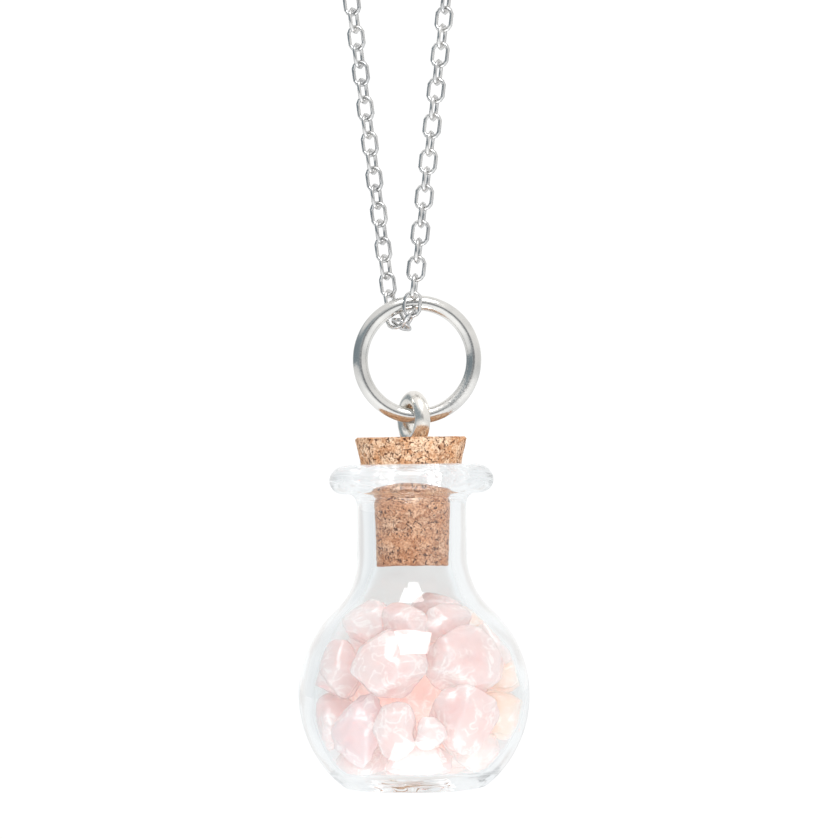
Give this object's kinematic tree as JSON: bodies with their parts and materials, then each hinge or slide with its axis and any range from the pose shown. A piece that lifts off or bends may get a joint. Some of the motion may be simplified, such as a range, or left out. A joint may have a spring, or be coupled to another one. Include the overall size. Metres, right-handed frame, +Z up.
{
  "type": "bottle pendant necklace",
  "caption": "Pendant: round glass bottle of rose quartz chips with a cork and screw eye, hung by a jump ring on a closed loop of fine cable chain.",
  "frame": {"origin": "top of the chain loop, on the centre of its wire, where it lies on the back of a neck", "axes": "+Z up along the hanging pendant, +X to the right as seen from the front, the front faces -Y"},
  "size_m": [0.045, 0.025, 0.2482],
  "materials": {
    "glass": "clear",
    "cork": "matte",
    "steel": "polished",
    "chain": "polished",
    "quartz": "polished"
  },
  "bodies": {
    "chain": {"chain_left": "chain", "chain_right": "chain", "clasp": "steel", "end_ring": "steel"},
    "ring": {"jump_ring": "steel"},
    "stopper": {"screw_eye": "steel", "cork_stopper": "cork"},
    "bottle": {"glass_bottle": "glass", "stone_01": "quartz", "stone_02": "quartz", "stone_03": "quartz", "stone_04": "quartz", "stone_05": "quartz", "stone_06": "quartz", "stone_07": "quartz", "stone_08": "quartz", "stone_09": "quartz", "stone_10": "quartz", "stone_11": "quartz", "stone_12": "quartz", "stone_13": "quartz", "stone_14": "quartz", "stone_15": "quartz", "stone_16": "quartz", "stone_17": "quartz", "stone_18": "quartz", "stone_19": "quartz", "stone_20": "quartz", "stone_21": "quartz", "stone_22": "quartz", "stone_23": "quartz", "stone_24": "quartz", "stone_25": "quartz", "stone_26": "quartz", "stone_27": "quartz", "stone_28": "quartz", "stone_29": "quartz", "stone_30": "quartz", "stone_31": "quartz"}
  },
  "joints": [
    {"name": "ring_swing", "type": "hinge", "parent": "chain", "child": "ring", "pos_m": [-0.001, 0, -0.19312], "axis": [1, 0, 0], "range_deg": [-60, 12]},
    {"name": "bottle_swing", "type": "hinge", "parent": "ring", "child": "stopper", "pos_m": [0.00035, 0, -0.20512], "axis": [1, 0, 0], "range_deg": [-90, 90]},
    {"name": "cork_pull", "type": "slide", "parent": "stopper", "child": "bottle", "axis": [0, 0, -1], "range_m": [0, 0.012]}
  ]
}
